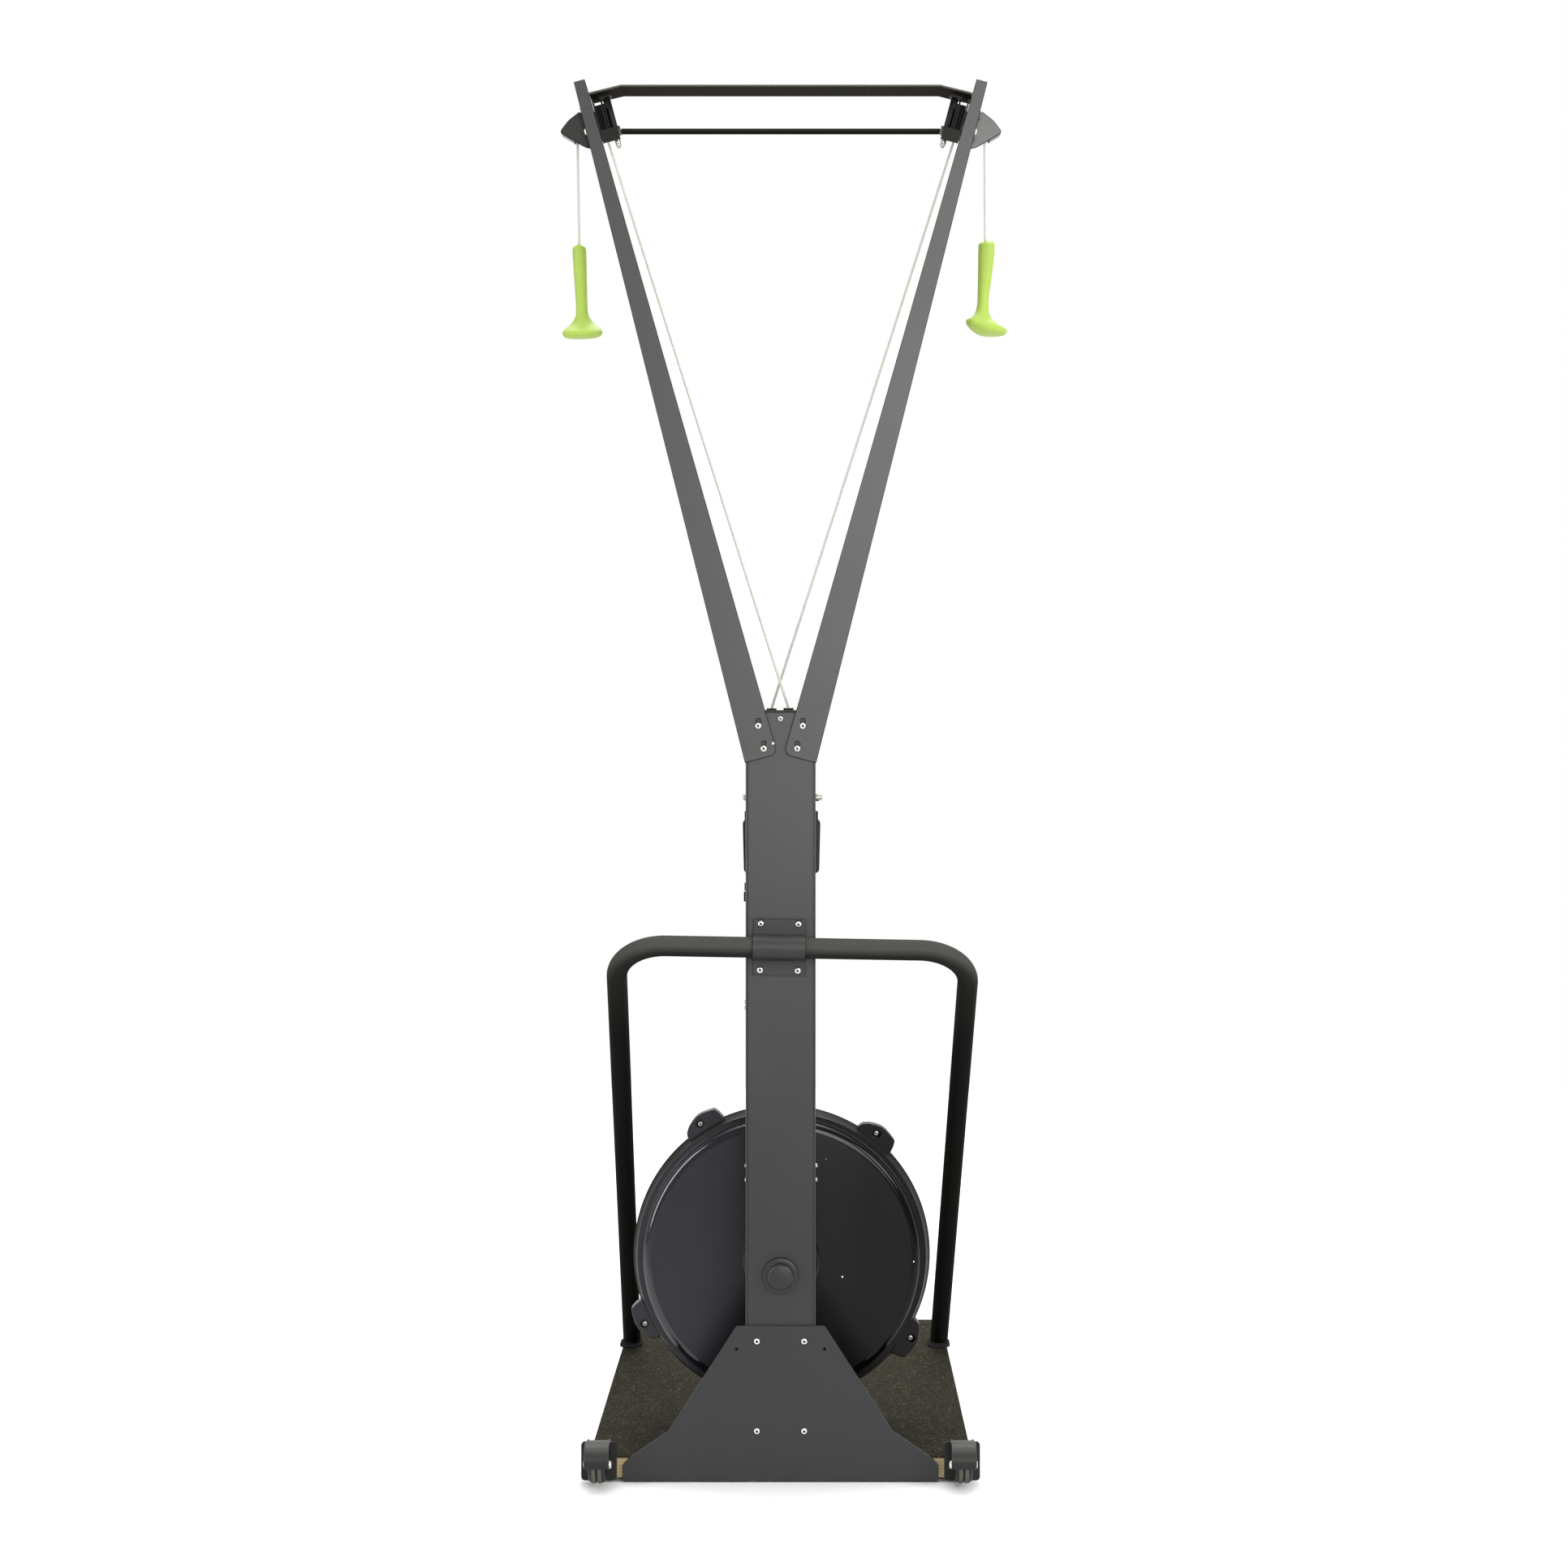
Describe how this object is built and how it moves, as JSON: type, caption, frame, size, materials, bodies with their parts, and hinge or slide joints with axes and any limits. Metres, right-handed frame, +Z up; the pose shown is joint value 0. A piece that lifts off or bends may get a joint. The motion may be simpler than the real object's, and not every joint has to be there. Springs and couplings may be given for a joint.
{
  "type": "ski machine",
  "caption": "Upright ski exercise machine: handles on cords that run over pulleys on two raised arms to an air-braked flywheel, on a standing platform.",
  "frame": {"origin": "on the floor, under the middle of the machine's length; X is 0 on the column's middle", "axes": "+Z up along the column, +Y from the wall side towards the user, +X to the right as seen from the wall side"},
  "size_m": [0.6958, 1.1038, 2.1595],
  "materials": {
    "frame_paint": "textured grey powder coat",
    "cover_paint": "textured grey powder coat",
    "zinc_steel": "zinc plated",
    "black_plastic": "satin black",
    "shell_plastic": "moulded, semi-gloss black",
    "plywood": "clear varnish",
    "mat_rubber": "speckled",
    "foot_rubber": "matte",
    "tread_rubber": "grey, moulded",
    "cord_fibre": "braided cream cord",
    "elastic_cord": "sheathed elastic",
    "lime_grip": "satin lime",
    "screen": "clear",
    "drum_metal": "machined",
    "fan_plastic": "moulded grey"
  },
  "bodies": {
    "frame": {"platform_board": "plywood", "platform_mat": "mat_rubber", "foot_strip_rear": "foot_rubber", "foot_strip_front": "foot_rubber", "column": "frame_paint", "arm_left": "frame_paint", "arm_right": "frame_paint", "head_bracket_left": "frame_paint", "head_bracket_right": "frame_paint", "top_crossbar": "frame_paint", "lower_crossbar": "frame_paint", "base_plate": "frame_paint", "hoop_brace": "frame_paint", "hoop_foot_left": "frame_paint", "hoop_foot_right": "frame_paint", "hoop_clamp": "frame_paint", "pulley_cover_left": "cover_paint", "pulley_cover_right": "cover_paint", "arm_bolts_left": "zinc_steel", "arm_bolts_right": "zinc_steel", "head_bolts_left": "zinc_steel", "head_bolts_right": "zinc_steel", "roller_pin_left": "zinc_steel", "roller_pin_right": "zinc_steel", "caster_axle_left": "zinc_steel", "caster_axle_right": "zinc_steel", "base_bolts": "zinc_steel", "clamp_bolts": "zinc_steel", "return_bolt": "zinc_steel", "column_cap": "black_plastic", "caster_bracket_left": "black_plastic", "caster_bracket_right": "black_plastic", "shaft_cap": "black_plastic", "monitor_mount": "black_plastic", "housing_rear": "shell_plastic", "housing_front": "shell_plastic", "drive_cord_left": "cord_fibre", "drive_cord_right": "cord_fibre", "hanging_cord_left": "cord_fibre", "hanging_cord_right": "cord_fibre", "return_cord": "elastic_cord"},
    "wheel_left": {"caster_wheel_left": "tread_rubber"},
    "wheel_right": {"caster_wheel_right": "tread_rubber"},
    "pulley_left": {"pulley_left": "black_plastic"},
    "pulley_right": {"pulley_right": "black_plastic"},
    "roller_left": {"guide_roller_left": "black_plastic"},
    "roller_right": {"guide_roller_right": "black_plastic"},
    "handle_left": {"handle_left": "lime_grip"},
    "handle_right": {"handle_right": "lime_grip"},
    "drum_left": {"cord_drum_left": "drum_metal"},
    "drum_right": {"cord_drum_right": "drum_metal"},
    "flywheel": {"flywheel_shaft": "zinc_steel", "fan_wheel": "fan_plastic"},
    "return_pulley": {"return_pulley": "black_plastic"},
    "damper": {"damper": "black_plastic"},
    "monitor": {"monitor_case": "black_plastic", "monitor_screen": "screen"},
    "button_1": {"monitor_button_1": "lime_grip"},
    "button_2": {"monitor_button_2": "lime_grip"},
    "button_3": {"monitor_button_3": "lime_grip"}
  },
  "joints": [
    {"name": "wheel_left_spin", "type": "hinge", "parent": "frame", "child": "wheel_left", "pos_m": [-0.2795, -0.51815, 0.035], "axis": [1, 0, 0], "continuous": true},
    {"name": "wheel_right_spin", "type": "hinge", "parent": "frame", "child": "wheel_right", "pos_m": [0.2795, -0.51815, 0.035], "axis": [1, 0, 0], "continuous": true},
    {"name": "handle_left_pull", "type": "slide", "parent": "frame", "child": "handle_left", "axis": [0, 0, -1], "range_m": [0, 0.9], "stiffness_N_per_m": 8, "springref_m": -1.5, "deforming": ["hanging_cord_left"]},
    {"name": "handle_right_pull", "type": "slide", "parent": "frame", "child": "handle_right", "axis": [0, 0, -1], "range_m": [0, 0.9], "stiffness_N_per_m": 8, "springref_m": -1.5, "deforming": ["hanging_cord_right"]},
    {"name": "pulley_left_spin", "type": "hinge", "parent": "frame", "child": "pulley_left", "pos_m": [-0.29701, -0.42335, 2.093], "axis": [0, 1, 0], "continuous": true},
    {"name": "drum_left_spin", "type": "hinge", "parent": "frame", "child": "drum_left", "pos_m": [0, -0.45385, 0.318], "axis": [0, 1, 0], "continuous": true},
    {"name": "roller_left_spin", "type": "hinge", "parent": "frame", "child": "roller_left", "pos_m": [-0.26118, -0.47185, 2.10262], "axis": [-0.2594, 0, 0.9658], "continuous": true},
    {"name": "pulley_right_spin", "type": "hinge", "parent": "frame", "child": "pulley_right", "pos_m": [0.29701, -0.42335, 2.093], "axis": [0, 1, 0], "continuous": true},
    {"name": "drum_right_spin", "type": "hinge", "parent": "frame", "child": "drum_right", "pos_m": [0, -0.41385, 0.318], "axis": [0, 1, 0], "continuous": true},
    {"name": "roller_right_spin", "type": "hinge", "parent": "frame", "child": "roller_right", "pos_m": [0.26118, -0.47185, 2.10262], "axis": [0.2594, 0, 0.9658], "continuous": true},
    {"name": "flywheel_spin", "type": "hinge", "parent": "frame", "child": "flywheel", "pos_m": [0, -0.27785, 0.318], "axis": [0, 1, 0], "continuous": true},
    {"name": "return_pulley_spin", "type": "hinge", "parent": "frame", "child": "return_pulley", "pos_m": [0, -0.43385, 1.053], "axis": [1, 0, 0], "continuous": true},
    {"name": "damper_turn", "type": "hinge", "parent": "frame", "child": "damper", "pos_m": [0, -0.19205, 0.318], "axis": [0, 1, 0], "range_deg": [0, 22.5]},
    {"name": "monitor_tilt", "type": "hinge", "parent": "frame", "child": "monitor", "pos_m": [0, -0.32585, 1.023], "axis": [1, 0, 0], "range_deg": [-20, 45]},
    {"name": "button_1_press", "type": "slide", "parent": "monitor", "child": "button_1", "axis": [0, -1, 0], "range_m": [0, 0.0015], "stiffness_N_per_m": 800, "springref_m": -0.0005},
    {"name": "button_2_press", "type": "slide", "parent": "monitor", "child": "button_2", "axis": [0, -1, 0], "range_m": [0, 0.0015], "stiffness_N_per_m": 800, "springref_m": -0.0005},
    {"name": "button_3_press", "type": "slide", "parent": "monitor", "child": "button_3", "axis": [0, -1, 0], "range_m": [0, 0.0015], "stiffness_N_per_m": 800, "springref_m": -0.0005}
  ],
  "couplings": [
    {"joint": "pulley_left_spin", "follows": "handle_left_pull", "rad_per_m": -47.619},
    {"joint": "drum_left_spin", "follows": "handle_left_pull", "rad_per_m": 55.556},
    {"joint": "pulley_right_spin", "follows": "handle_right_pull", "rad_per_m": 47.619},
    {"joint": "drum_right_spin", "follows": "handle_right_pull", "rad_per_m": 55.556}
  ]
}
